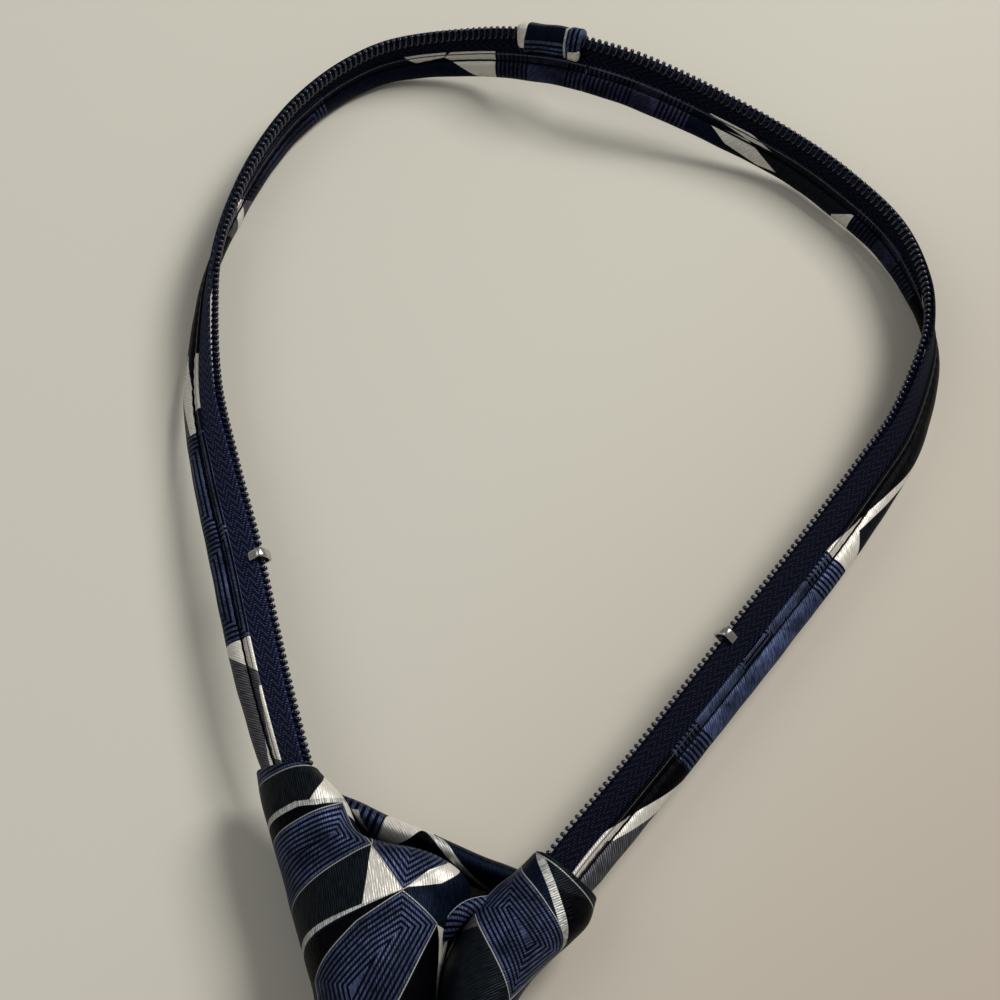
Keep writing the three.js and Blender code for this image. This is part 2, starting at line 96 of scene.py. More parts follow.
def strap_place(s, across, out):
    """Point s along the strap, `across` towards the zip's teeth and `out` of the tape's front face.
    The two directions are the level inward normal and the upward one, turned by the strap's lean. The run
    of the strap is the chord between the places REACH before and after."""
    here = smooth_rows(STRAP_AT, STRAP_ROWS, s)
    back = smooth_rows(STRAP_AT, STRAP_ROWS, np.maximum(s - REACH, 0))
    on = smooth_rows(STRAP_AT, STRAP_ROWS, np.minimum(s + REACH, STRAP_LONG))
    run = (on - back)[:, :3]
    run /= np.linalg.norm(run, axis=1)[:, None]
    inward = np.cross(run, (0.0, 0.0, 1.0))
    inward /= np.linalg.norm(inward, axis=1)[:, None]
    up = np.cross(inward, run)
    lean = np.radians(here[:, 3])[:, None]
    towards = np.cos(lean) * inward + np.sin(lean) * up
    face = np.cos(lean) * up - np.sin(lean) * inward
    middle = here[:, None, :3]
    return middle + across[..., None] * towards[:, None] + out[..., None] * face[:, None]


def skin(name, rings, u, v):
    """Closed body through rings of equally many points. Quads join neighbouring rings and a fan closes
    each end. The sign of the enclosed volume turns the faces outwards. u and v are the cloth map in mm."""
    m, n = rings.shape[:2]
    row = np.arange(m - 1)[:, None] * n
    col = np.arange(n)[None, :]
    nxt = (col + 1) % n
    quads = np.stack([row + col, row + nxt, row + n + nxt, row + n + col], -1).reshape(-1, 4)
    i = np.repeat(np.arange(m - 1), n)
    k = np.tile(np.arange(n), m - 1)
    quad_uv = np.stack([
        np.stack([u[i, k], v[i, k]], -1), np.stack([u[i, k + 1], v[i, k + 1]], -1),
        np.stack([u[i + 1, k + 1], v[i + 1, k + 1]], -1), np.stack([u[i + 1, k], v[i + 1, k]], -1),
    ], 1)
    points = np.concatenate([rings.reshape(-1, 3), rings[:1].mean(1), rings[-1:].mean(1)])
    k = np.arange(n)
    start = np.stack([np.full(n, m * n), (k + 1) % n, k], -1)
    close = np.stack([np.full(n, m * n + 1), (m - 1) * n + k, (m - 1) * n + (k + 1) % n], -1)
    end_uv = []
    for r, order in ((0, (1, 0)), (m - 1, (0, 1))):
        hub = np.tile([u[r].mean(), v[r].mean()], (n, 1))
        a = np.stack([u[r, k + order[0]], v[r, k + order[0]]], -1)
        b = np.stack([u[r, k + order[1]], v[r, k + order[1]]], -1)
        end_uv.append(np.stack([hub, a, b], 1))
    a, b, c, d = (points[quads[:, j]] for j in range(4))
    volume = (a * np.cross(b, c)).sum() + (a * np.cross(c, d)).sum()
    if volume < 0:
        quads, quad_uv = quads[:, ::-1], quad_uv[:, ::-1]
        start, close = start[:, ::-1], close[:, ::-1]
        end_uv = [e[:, ::-1] for e in end_uv]
    mesh = bpy.data.meshes.new(name)
    mesh.from_pydata(points.tolist(), [], quads.tolist() + start.tolist() + close.tolist())
    layer = mesh.uv_layers.new(name="cloth")
    flat = np.concatenate([quad_uv.reshape(-1, 2), end_uv[0].reshape(-1, 2), end_uv[1].reshape(-1, 2)])
    layer.data.foreach_set("uv", flat.astype(np.float32).ravel())
    mesh.polygons.foreach_set("use_smooth", np.ones(len(mesh.polygons), bool))
    mesh.update()
    piece = bpy.data.objects.new(name, mesh)
    bpy.context.scene.collection.objects.link(piece)
    return piece


def calc(tree, work, *terms):
    """One Math node: `work` done on the terms, each a number or another node's output."""
    node = tree.nodes.new("ShaderNodeMath")
    node.operation = work
    for socket, term in zip(node.inputs, terms):
        if isinstance(term, (int, float)):
            socket.default_value = term
        else:
            tree.links.new(term, socket)
    return node.outputs[0]


def mixed(tree, share, first, second):
    """Colour between the first and the second by share, each a colour or another node's output."""
    node = tree.nodes.new("ShaderNodeMix")
    node.data_type = "RGBA"
    for socket, term in ((node.inputs[0], share), (node.inputs[6], first), (node.inputs[7], second)):
        if isinstance(term, tuple):
            socket.default_value = (*term, 1.0)
        elif isinstance(term, (int, float)):
            socket.default_value = term
        else:
            tree.links.new(term, socket)
    return node.outputs[2]


def ramp(tree, value, slope, offset):
    """value times slope plus offset, held between 0 and 1."""
    out = calc(tree, "MULTIPLY_ADD", value, slope, offset)
    out.node.use_clamp = True
    return out


def material(name, roughness, metallic=0.0):
    """A new node material with its shader, its tree and the cloth map's two values in mm."""
    made = bpy.data.materials.new(name)
    made.use_nodes = True
    tree = made.node_tree
    shader = tree.nodes["Principled BSDF"]
    shader.inputs["Roughness"].default_value = roughness
    shader.inputs["Metallic"].default_value = metallic
    read = tree.nodes.new("ShaderNodeUVMap")
    read.uv_map = "cloth"
    split = tree.nodes.new("ShaderNodeSeparateXYZ")
    tree.links.new(read.outputs[0], split.inputs[0])
    return made, tree, shader, split.outputs[0], split.outputs[1]


def emboss(tree, shader, height, reach):
    """Bump of the shader's normal by a height from 0 to 1 that stands for `reach` metres."""
    node = tree.nodes.new("ShaderNodeBump")
    node.inputs["Distance"].default_value = reach
    tree.links.new(height, node.inputs["Height"])
    tree.links.new(node.outputs[0], shader.inputs["Normal"])


tape_look, tree, shader, u, v = material("herringbone tape", 0.7)
leg = calc(tree, "PINGPONG", v, HERRING_LEG)
rib = calc(tree, "ADD", calc(tree, "MULTIPLY", u, 0.55), leg)
row = calc(tree, "PINGPONG", rib, HERRING_ROW)
bead = calc(tree, "PINGPONG", calc(tree, "SUBTRACT", u, calc(tree, "MULTIPLY", leg, 0.3)), BEAD_HALF)
thread = calc(tree, "MULTIPLY", calc(tree, "MULTIPLY", row, 1.8), calc(tree, "MULTIPLY", bead, 3.5))
# Painted glints: the weave's raised beads are painted as sparse bright speckles.
glint = calc(tree, "SMOOTH_MIN", calc(tree, "POWER", thread, 3.5), 1.0, 0.1)
# Painted sheen: the tape is painted paler along most of the left half, as if that tape catches more light.
pale = ramp(tree, u, -0.012, 2.1)
ground = mixed(tree, pale, TAPE_DARK, TAPE_SHEEN_LIT)
colour = mixed(tree, glint, ground, mixed(tree, pale, BEAD_GLINT, BEAD_GLINT_SHEEN_LIT))
tree.links.new(colour, shader.inputs["Base Color"])
shader.inputs["Specular IOR Level"].default_value = 0.05
emboss(tree, shader, thread, 0.00018)

for side, low, high in (("left", 0.0, TAB_AT - PARTING), ("right", TAB_AT + PARTING, STRAP_LONG)):
    s = np.linspace(low, high, int((high - low) / TAPE_STEP) + 2)
    a = np.linspace(0, 2 * np.pi, 25)
    middle = (TAPE_EDGE - TAPE_SEAM) / 2
    half = (TAPE_EDGE + TAPE_SEAM) / 2
    q = middle + half * np.sign(np.cos(a)) * np.abs(np.cos(a)) ** 0.25
    f = TAPE_HALF * np.sign(np.sin(a)) * np.abs(np.sin(a)) ** 0.5
    q = np.tile(q[None, :-1], (len(s), 1))
    f = np.tile(f[None, :-1], (len(s), 1))
    rings = strap_place(s, q, f)
    along = np.tile(s[:, None] * 1000, (1, 25))
    wide = np.concatenate([q, q[:, :1]], 1) * 1000
    tape = skin("woven_tape_" + side, rings, along, wide)
    tape.data.materials.append(tape_look)
    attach(tape, "root")
    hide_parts("tape_" + side)

# Zip coil: one nylon thread wound round a cord, flattened, with a small head at the end of every turn.
# It is sewn under the tape's free edge, so that only the heads show from the front.
# The turns are 1.5 mm apart, and each crosses the cord on the side away from its head.
TURN = 0.0015
TURN_POINTS = 14
COIL_TIP = 0.0063
COIL_WIDE = 0.0030
COIL_INSET = 0.00034
COIL_LEVEL = -0.0015
COIL_HALF = 0.00040
COIL_END = 0.0004
COIL_PARTING = 0.0003
THREAD = 0.00035
HEAD_SWELL = 0.00015
CORE_AT = 0.0047
CORE_ROUND = 0.00060
CORE_END = 0.0002
CORE_STEP = 0.003


def grain(tree, scale, detail):
    """Noise fixed to the piece, of a scale in waves to the metre and so many finer layers."""
    noise = tree.nodes.new("ShaderNodeTexNoise")
    noise.inputs["Scale"].default_value = scale
    noise.inputs["Detail"].default_value = detail
    where = tree.nodes.new("ShaderNodeTexCoord")
    tree.links.new(where.outputs["Object"], noise.inputs["Vector"])
    return noise.outputs["Fac"]


coil_look, tree, shader, u, v = material("nylon coil", 0.15)
colour = mixed(tree, grain(tree, 900.0, 2.0), (0.0016, 0.0024, 0.0090), (0.0065, 0.0095, 0.030))
tree.links.new(colour, shader.inputs["Base Color"])
shader.inputs["Specular IOR Level"].default_value = 0.5


def strap_tube(name, s, q, f, radius, sides):
    """Round thread along a path given beside the strap: a circle of that radius set square to the path. A
    second path one millimetre further out gives the direction that the circle starts from."""
    path = strap_place(s, q[:, None], f[:, None])[:, 0]
    run = np.gradient(path, axis=0)
    run /= np.linalg.norm(run, axis=1)[:, None]
    other = strap_place(s, q[:, None], f[:, None] + 0.001)[:, 0] - path
    first = np.cross(run, other)
    first /= np.linalg.norm(first, axis=1)[:, None]
    second = np.cross(first, run)
    a = np.linspace(0, 2 * np.pi, sides + 1)[:-1]
    ring = np.cos(a)[None, :, None] * first[:, None] + np.sin(a)[None, :, None] * second[:, None]
    rings = path[:, None] + ring * radius[:, None, None]
    along = np.tile(s[:, None] * 1000, (1, sides + 1))
    round_it = np.tile(np.linspace(0, 2, sides + 1)[None], (len(s), 1))
    return skin(name, rings, along, round_it)


for side, low, high in (("left", 0.0, TAB_AT - COIL_PARTING), ("right", TAB_AT + COIL_PARTING, STRAP_LONG)):
    turns = int((high - low) / TURN)
    a = np.linspace(0, 2 * np.pi * turns, turns * TURN_POINTS + 1)
    s = low + COIL_END + (high - low - 2 * COIL_END) * (a - 0.8 * np.sin(a)) / a[-1]
    wide = np.sign(np.cos(a)) * np.abs(np.cos(a)) ** 0.6
    tall = np.sign(np.sin(a)) * np.abs(np.sin(a)) ** 0.8
    q = COIL_TIP - COIL_WIDE / 2 + (COIL_WIDE / 2 - COIL_INSET) * wide
    f = COIL_LEVEL + COIL_HALF * tall
    radius = THREAD + HEAD_SWELL * np.clip(wide, 0, 1) ** 3
    coil = strap_tube("zip_coil_" + side, s, q, f, radius, 6)
    coil.data.materials.append(coil_look)
    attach(coil, "root")
    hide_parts("coil_" + side)
    s = np.linspace(low + CORE_END, high - CORE_END, int((high - low) / CORE_STEP))
    still = np.ones_like(s)
    cord = strap_tube("coil_core_" + side, s, CORE_AT * still, COIL_LEVEL * still, CORE_ROUND * still, 8)
    cord.data.materials.append(tape_look)
    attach(cord, "root")

# Zip stops: a short strip of bright metal bent round the coil's edge on each side of the loop.
# The strip is rounded by the pliers that closed it, thicker at the bend and thin at its end.
STOP_WIDE = 0.0020
STOP_THICK = 0.00070
STOP_START = 0.0042
STOP_NOSE = 0.0065
STOP_TOP = 0.00072
STOP_LOW = -0.00255
STOP_LEG = 0.36

steel_look, tree, shader, u, v = material("stamped metal", 0.24, 1.0)
dents = grain(tree, 700.0, 4.0)
colour = mixed(tree, dents, (0.34, 0.34, 0.32), (0.66, 0.65, 0.62))
tree.links.new(colour, shader.inputs["Base Color"])
emboss(tree, shader, dents, 0.00006)

for side, share in (("left", 0.0973), ("right", 0.8745)):
    t = np.linspace(0, 1, 41)
    top = STOP_TOP + STOP_THICK / 2
    low = STOP_LOW - STOP_THICK / 2
    leg = np.minimum(np.minimum(t, 1 - t) / STOP_LEG, 1)
    turn = np.clip((t - STOP_LEG) / (1 - 2 * STOP_LEG), 0, 1) * np.pi
    bend = (top - low) / 2
    q = STOP_START + (STOP_NOSE - STOP_START) * leg + 0.42 * bend * np.sin(turn)
    f = (top + low) / 2 + bend * np.cos(turn)
    dq, df = np.gradient(q), np.gradient(f)
    size = np.hypot(dq, df)
    a = np.linspace(0, 2 * np.pi, 17)[:-1]
    swell = 0.72 + 0.45 * np.sin(np.pi * np.clip(t * 1.6 - 0.1, 0, 1))
    end = np.sqrt(np.clip(1 - np.clip(np.abs(2 * t - 1) * 1.02 - 0.97, 0, 1) / 0.05, 0.02, 1))
    wide = STOP_WIDE / 2 * np.sign(np.cos(a)) * np.abs(np.cos(a)) ** 0.55
    thick = STOP_THICK / 2 * np.sign(np.sin(a)) * np.abs(np.sin(a)) ** 0.7
    out = thick[None] * (swell * end)[:, None]
    qq = q[:, None] + out * (-df / size)[:, None]
    ff = f[:, None] + out * (dq / size)[:, None]
    ss = share * STRAP_LONG + wide[None] * (0.9 + 0.12 * swell[:, None]) * end[:, None]
    place = strap_place(ss.ravel(), qq.reshape(-1, 1), ff.reshape(-1, 1)).reshape(41, 16, 3)
    stop = skin("zip_stop_" + side, place, np.zeros((41, 17)), np.zeros((41, 17)))
    stop.data.materials.append(steel_look)
    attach(stop, "root")
    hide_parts("stop_" + side)

# Strap covers: patterned satin folded round a soft filling and sewn shut along the tape.
# A stitched groove parts the round edge from the flat flange, and the stitches pucker the cloth beside it.
# Every patch, of the weave and of painted light and shade, is set down by where it starts and ends along
# the strap.
COVER_REACH = 0.0066
COVER_HALF = 0.0014
COVER_STEP = 0.00085
STITCH = 0.0027
GROOVE_AT = 0.29
GROOVE_WIDE = 0.13
PINCH_LONG = 0.010
PINCH = 0.18
LINE_PITCH = 1.15
LINE_CORE = 8.62
JOINT_AT = 0.483 * STRAP_LONG
COVER_EDGE = np.array([
    (1.000, 0.00), (0.985, 0.30), (0.930, 0.62), (0.840, 0.86), (0.720, 1.00), (0.580, 1.00),
    (0.470, 0.90), (0.390, 0.70), (0.330, 0.48), (0.290, 0.38), (0.250, 0.46), (0.200, 0.58),
    (0.110, 0.62), (0.040, 0.58), (0.005, 0.40), (0.000, 0.00),
])
BLUE = (0.0265, 0.0350, 0.0720)
# SHADED_BLUE is the blue weave painted darker, as painted shade over the back of the loop.
SHADED_BLUE = (0.012, 0.013, 0.030)
LINE = (0.0011, 0.0014, 0.0042)
SLATE = (0.0052, 0.0068, 0.0092)
# SHEEN_SLATE is slate painted lighter, as painted sheen where the satin catches the light.
SHEEN_SLATE = (0.055, 0.055, 0.063)
CREAM = (0.70, 0.665, 0.60)
SILVER = (0.30, 0.305, 0.29)
BLACK = (0.0007, 0.0008, 0.0016)
NAVY = (0.0021, 0.0041, 0.0108)


def edge_depth(tree, u, v, corners):
    """How far a point lies inside a patch, in mm: the least of its distances to the patch's sides."""
    after = corners[1:] + corners[:1]
    area = sum(a[0] * b[1] - b[0] * a[1] for a, b in zip(corners, after))
    depth = None
    for (ax, ay), (bx, by) in zip(corners, after):
        long = float(np.hypot(bx - ax, by - ay)) * (1 if area > 0 else -1)
        nx, ny = -(by - ay) / long, (bx - ax) / long
        side = calc(tree, "MULTIPLY_ADD", u, nx, -(ax * nx + ay * ny))
        side = calc(tree, "MULTIPLY_ADD", v, ny, side)
        depth = side if depth is None else calc(tree, "MINIMUM", depth, side)
    return depth


def streaks(tree, x, y, fine, long):
    """Noise drawn out into threads: quick changes along x, slow ones along y."""
    place = tree.nodes.new("ShaderNodeCombineXYZ")
    tree.links.new(calc(tree, "MULTIPLY", x, fine), place.inputs[0])
    tree.links.new(calc(tree, "MULTIPLY", y, long), place.inputs[1])
    noise = tree.nodes.new("ShaderNodeTexNoise")
    noise.inputs["Scale"].default_value = 1.0
    noise.inputs["Detail"].default_value = 2.0
    tree.links.new(place.outputs[0], noise.inputs["Vector"])
    return noise.outputs["Fac"]


def lattice(tree, u, v, origin, one, two):
    """Slanted lattice of lozenges with sides `one` and `two`. Gives a point's share along each side, its
    depth in its lozenge in mm, and the lozenge's kind, 0 to 3, which steps by 1 and 2 along the sides."""
    wide = one[0] * two[1] - one[1] * two[0]
    shares, steps, depth = [], [], None
    for gx, gy in ((two[1] / wide, -two[0] / wide), (-one[1] / wide, one[0] / wide)):
        place = calc(tree, "MULTIPLY_ADD", u, gx, -(origin[0] * gx + origin[1] * gy))
        place = calc(tree, "MULTIPLY_ADD", v, gy, place)
        share = calc(tree, "FRACT", place)
        near = calc(tree, "MULTIPLY", calc(tree, "PINGPONG", share, 0.5), 1 / float(np.hypot(gx, gy)))
        depth = near if depth is None else calc(tree, "MINIMUM", depth, near)
        shares.append(share)
        steps.append(calc(tree, "FLOOR", place))
    kind = calc(tree, "FLOORED_MODULO", calc(tree, "MULTIPLY_ADD", steps[1], 2.0, steps[0]), 4.0)
    return shares[0], shares[1], depth, kind


def satin(name, ground, patches, bias=(0.8, 0.6), repeat=None, pitch=1.0, core=99.0):
    """Patterned tie silk. A ground colour, or a repeating lattice of lozenges, is covered patch by patch;
    every patch is a kind of weave inside corners on the cloth map. Blue weave holds dark lines parallel to
    its own sides, `pitch` mm apart as deep as `core`, and a thin pale thread follows the sides of patches
    marked so. All of it is made of drawn-out threads with a fine twill rib along `bias`."""
    made, tree, shader, u, v = material(name, 0.36)
    across = calc(tree, "MULTIPLY_ADD", v, bias[1], calc(tree, "MULTIPLY", u, bias[0]))
    down = calc(tree, "MULTIPLY_ADD", v, bias[0], calc(tree, "MULTIPLY", u, -bias[1]))
    yarn = streaks(tree, across, down, 2.7, 0.45)
    slub = streaks(tree, down, across, 1.1, 0.35)
    # Painted sheen: slow noise that makes the blue duller in some broad areas and brighter in others.
    sheen = ramp(tree, streaks(tree, u, v, 0.11, 0.11), 3.4, -1.25)
    rib = calc(tree, "MULTIPLY", calc(tree, "PINGPONG", across, 0.24), 4.1)
    thread = ramp(tree, yarn, 3.2, -1.1)
    shade = calc(tree, "MULTIPLY_ADD", rib, 0.25, calc(tree, "MULTIPLY", thread, 0.6))
    shade = calc(tree, "MULTIPLY_ADD", slub, 0.5, calc(tree, "SUBTRACT", shade, 0.15))
    twill = calc(tree, "MULTIPLY", rib, calc(tree, "MULTIPLY_ADD", thread, 0.7, 0.3))
    height = calc(tree, "MULTIPLY_ADD", rib, 0.3, calc(tree, "MULTIPLY", thread, 0.35))

    def dyed(kind):
        """A kind's colour, darker and lighter by its threads; blue also has broad dim and bright areas of
        painted sheen.
        """
        if kind in (SLATE, SHEEN_SLATE):
            return mixed(tree, twill, tuple(c * 0.25 for c in kind), tuple(c * 3.0 for c in kind))
        if kind is CREAM:
            return mixed(tree, twill, tuple(c * 0.72 for c in kind), tuple(c * 1.2 for c in kind))
        if kind in (BLUE, SHADED_BLUE):
            dull = mixed(tree, shade, tuple(c * 0.08 for c in kind), tuple(c * 1.4 for c in kind))
            bright = mixed(tree, shade, tuple(c * 0.45 for c in kind), tuple(c * 3.8 for c in kind))
            return mixed(tree, sheen, dull, bright)
        return mixed(tree, shade, tuple(c * 0.3 for c in kind), tuple(c * 2.0 for c in kind))

    def lined(depth, kind=BLUE):
        """A blue kind with its dark lines, and how strongly each point is drawn as a line."""
        near = calc(tree, "PINGPONG", calc(tree, "MINIMUM", depth, core), pitch / 2)
        drawn = ramp(tree, near, -9.0 / pitch, 2.7)
        return mixed(tree, drawn, dyed(kind), LINE), drawn

    colour = dyed(ground)
    if repeat:
        one, two, depth, kind = lattice(tree, u, v, *repeat)
        blue, drawn = lined(depth)
        even = calc(tree, "COMPARE", calc(tree, "PINGPONG", kind, 1.0), 0.0, 0.4)
        slate = calc(tree, "COMPARE", kind, 1.0, 0.4)
        corner = ramp(tree, calc(tree, "ADD", one, calc(tree, "MULTIPLY", two, 0.8)), -60.0, 24.0)
        stripe = ramp(tree, calc(tree, "ABSOLUTE", calc(tree, "SUBTRACT", two, 0.18)), -60.0, 4.0)
        dark = mixed(tree, stripe, dyed(BLACK), dyed(SILVER))
        pale = mixed(tree, corner, dyed(SLATE), dyed(CREAM))
        colour = mixed(tree, even, mixed(tree, slate, dark, pale), blue)
        line = ramp(tree, depth, -9.0, 1.6)
        colour = mixed(tree, line, colour, SILVER)
        sunk = calc(tree, "MULTIPLY", calc(tree, "MULTIPLY", drawn, even), -0.4)
        height = calc(tree, "ADD", height, sunk)
    for kind, corners, edged in patches:
        depth = edge_depth(tree, u, v, corners)
        inside = ramp(tree, depth, 9.0, 0.5)
        if kind in (BLUE, SHADED_BLUE):
            tint, drawn = lined(depth, kind)
            sunk = calc(tree, "MULTIPLY", calc(tree, "MULTIPLY", drawn, inside), -0.4)
            height = calc(tree, "ADD", height, sunk)
        else:
            tint = dyed(kind)
        colour = mixed(tree, inside, colour, tint)
        if edged:
            line = ramp(tree, calc(tree, "ABSOLUTE", calc(tree, "ADD", depth, 0.08)), -10.0, 1.75)
            colour = mixed(tree, line, colour, SILVER)
            height = calc(tree, "MULTIPLY_ADD", line, 0.5, height)
    tree.links.new(colour, shader.inputs["Base Color"])
    gloss = calc(tree, "MULTIPLY_ADD", yarn, 0.35, 0.24)
    tree.links.new(gloss, shader.inputs["Roughness"])
    shader.inputs["Metallic"].default_value = 0.35
    shader.inputs["Specular IOR Level"].default_value = 0.03
    emboss(tree, shader, height, 0.00014)
    return made


def band(start, end, slant_a=0.0, slant_b=0.0, low=-9.0, high=9.0):
    """Corners of a strip across the strap between two places along it. A slant is its shift for each
    millimetre across."""
    return [
        (start + slant_a * low, low), (end + slant_b * low, low),
        (end + slant_b * high, high), (start + slant_a * high, high),
    ]


STRAP_PATCHES = {
    "left": [
        # Painted sheen: the lighter slate patches along the strap stand for slate catching the light.
        (SHEEN_SLATE, band(-12.0, 34.0), False),
        (CREAM, [(34.5, -1.0), (34.5, 9.0), (25.2, 9.0), (33.9, -1.0)], False),
        (CREAM, [(23.0, 9.0), (23.0, 7.2), (7.0, 5.9), (5.0, 9.0)], False),
        (CREAM, [(14.0, 5.3), (6.0, 5.4), (-6.0, 4.6), (-6.0, 2.9), (6.0, 4.3)], False),
        (BLUE, band(34.5, 60.5, 0.0, 0.0, -9.5, 8.5), False),
        (BLUE, band(60.5, 86.5, 0.0, 0.0, -9.5, 8.5), False),
        (SHEEN_SLATE, [(86.7, -9.0), (86.7, 4.0), (103.0, 2.2), (108.0, -9.0)], False),
        (CREAM, [(86.7, 3.4), (86.7, 5.4), (97.0, 5.4), (109.0, 3.0), (101.0, 1.6)], False),
        (CREAM, [(92.0, 9.0), (92.0, 6.0), (104.0, 5.4), (112.0, 9.0)], False),
        (BLACK, [(106.0, 9.0), (112.0, -9.0), (143.0, -9.0), (143.0, 9.0)], False),
        (SHEEN_SLATE, band(142.5, 153.0, 0.4, 0.2), False),
        (CREAM, [(144.0, -2.0), (147.0, -2.0), (152.0, -9.0), (148.0, -9.0)], False),
        # Painted shade: from here round the back of the loop the blue is painted darker.
        (SHADED_BLUE, band(154.0, 184.5, 0.6, 0.0, -8.5, 9.5), False),
        (CREAM, band(184.9, 186.0, -0.2, 0.1), False),
        (CREAM, [(206.0, -9.0), (218.0, -9.0), (217.0, -6.6), (210.0, -5.2)], False),
        (CREAM, [(217.0, -6.4), (220.0, -9.0), (229.7, -9.0), (229.7, 1.0), (226.0, 0.0)], False),
        (SHADED_BLUE, band(230.0, 257.0, 0.0, 0.0, -30.0, 30.0), False),
    ],
    "right": [
        # Painted shade: darker blue patches over the back of the loop.
        (SHADED_BLUE, band(230.0, 257.0, 0.0, 0.0, -30.0, 30.0), False),
        (SHADED_BLUE, band(257.0, 280.5, 0.0, 0.0, -30.0, 30.0), False),
        (SLATE, band(302.5, 327.0, 0.6, 0.0), False),
        (CREAM, [(285.5, -5.2), (295.1, -5.9), (304.7, -2.1), (299.8, -1.3), (290.6, -2.6)], False),
        (CREAM, [(284.2, -7.5), (287.6, -9.0), (293.5, -8.2), (301.3, -6.2), (295.1, -6.0)], False),
        (CREAM, [(322.0, -1.8), (326.9, -5.4), (327.0, 9.0), (322.0, 9.0)], False),
        # Painted shade: a darker blue patch.
        (SHADED_BLUE, band(327.0, 352.0, 0.0, 0.0, -30.0, 30.0), False),
        (CREAM, band(352.3, 428.7), False),
        (BLACK, [(352.3, -8.2), (352.3, 9.0), (433.3, 9.0)], False),
        (SLATE, [(419.9, 4.3), (424.0, 1.0), (424.0, -9.0), (348.1, -9.0)], False),
        (BLUE, band(429.0, 485.5, 0.0, 0.0, -30.0, 30.0), False),
        (BLUE, band(451.0, 461.5, 0.0, 0.0, 5.4, 14.0), False),
        # Painted sheen: lighter slate patch.
        (SHEEN_SLATE, band(485.7, 540.0), False),
        (BLACK, [(485.7, 0.0), (485.7, 9.0), (510.9, 9.0)], False),
        (CREAM, [(485.7, 0.0), (486.6, -2.6), (507.4, 4.9), (510.9, 9.0)], False),
        (CREAM, [(507.0, 5.9), (519.0, 5.9), (519.0, 9.0), (510.0, 9.0)], False),
    ],
}
# Dark seam lines along both stitched grooves, and pale lines along both flange edges that are painted
# highlights on the folded cloth.
SEAMS_AND_EDGE_HIGHLIGHTS = [
    (BLACK, [(-12.0, 5.0), (540.0, 5.0), (540.0, 5.5), (-12.0, 5.5)], False),
    (SHEEN_SLATE, [(-12.0, 6.75), (540.0, 6.75), (540.0, 6.95), (-12.0, 6.95)], False),
    (BLACK, [(-12.0, -5.5), (540.0, -5.5), (540.0, -5.0), (-12.0, -5.0)], False),
    (SHEEN_SLATE, [(-12.0, -7.2), (540.0, -7.2), (540.0, -6.9), (-12.0, -6.9)], False),
]


def soft_waves(s, seed):
    """Slow unevenness of soft cloth along s, about -1 to 1: a few sine waves with fixed phases."""
    waves = [(0.046, 1.3), (0.027, 4.1), (0.0165, 2.2), (0.0102, 5.7)]
    return sum(np.sin(2 * np.pi * s / w + p * seed) for w, p in waves) / 3


for side, low, high in (("left", 0.0, JOINT_AT - PARTING), ("right", JOINT_AT + PARTING, STRAP_LONG)):
    s = np.linspace(low, high, int((high - low) / COVER_STEP) + 2)
    t = np.linspace(0, 1, 25)
    edge = smooth_rows(np.linspace(0, 1, len(COVER_EDGE)), COVER_EDGE, t)
    q = np.concatenate([edge[:, 0], edge[-2:0:-1, 0]])
    f = np.concatenate([edge[:, 1], -edge[-2:0:-1, 1]])
    inside = np.clip(np.minimum(s, STRAP_LONG - s) / PINCH_LONG, 0, 1)
    pinch = 1 - PINCH * (1 - inside * inside * (3 - 2 * inside))
    stitch = np.cos(2 * np.pi * s / STITCH)[:, None]
    by_seam = np.exp(-(((q - GROOVE_AT) / GROOVE_WIDE) ** 2))[None]
    round_part = np.clip((q - 0.30) / 0.4, 0, 1)[None]
    puff = 1 + 0.16 * stitch * by_seam + 0.06 * soft_waves(s, 1.0)[:, None] * round_part
    reach = pinch[:, None] * (1 + 0.012 * soft_waves(s, 2.0)[:, None] * round_part)
    qq = -COVER_REACH * q[None] * reach
    ff = COVER_HALF * f[None] * puff
    rings = strap_place(s, qq, ff)
    steps = np.hypot(np.diff(np.append(q, q[0])) * COVER_REACH, np.diff(np.append(f, f[0])) * COVER_HALF)
    arc = np.concatenate([[0.0], np.cumsum(steps)]) * 1000
    arc = np.where(arc > arc[-1] / 2 + 0.001, arc - arc[-1], arc)
    across = np.tile(arc[None], (len(s), 1))
    across[:, -1] = 0.0
    along = np.tile(s[:, None] * 1000, (1, len(arc)))
    cover = skin("satin_cover_" + side, rings, along, across)
    patches = STRAP_PATCHES[side] + SEAMS_AND_EDGE_HIGHLIGHTS
    cover.data.materials.append(satin("satin " + side, NAVY, patches, pitch=LINE_PITCH, core=LINE_CORE))
    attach(cover, "root")
    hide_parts("strap_cover_" + side)

# Keeper tab: a short strip of the same satin folded round tape and coil at the back of the neck, sewn down.
# It hides where the two halves of the zip meet. A second turn of cloth is wound round its right end.
TAB_LONG = 0.0148
TAB_HEM = 0.0030
TAB_WALL = 0.0007
TAB_SECOND = 0.00045
TAB_EDGE = 0.00035
s = TAB_AT - TAB_LONG / 2 + TAB_LONG * np.linspace(0, 1, 61)
top, low, nose = 0.0007, -0.00255, 0.0066
TAB_FOLD = np.array([
    (0.0006, top), (0.0035, top + 0.00008), (nose - 0.0006, top), (nose - 0.0001, top - 0.0003),
    (nose, (top + low) / 2), (nose - 0.0001, low + 0.0004), (nose - 0.0006, low), (0.0032, low + 0.00015),
    (0.0006, -top),
])
t = np.linspace(0, 1, 49)
inner = smooth_rows(np.linspace(0, 1, len(TAB_FOLD)), TAB_FOLD, t)
normal = np.stack([-np.gradient(inner[:, 1]), np.gradient(inner[:, 0])], -1)
normal /= np.linalg.norm(normal, axis=1)[:, None]
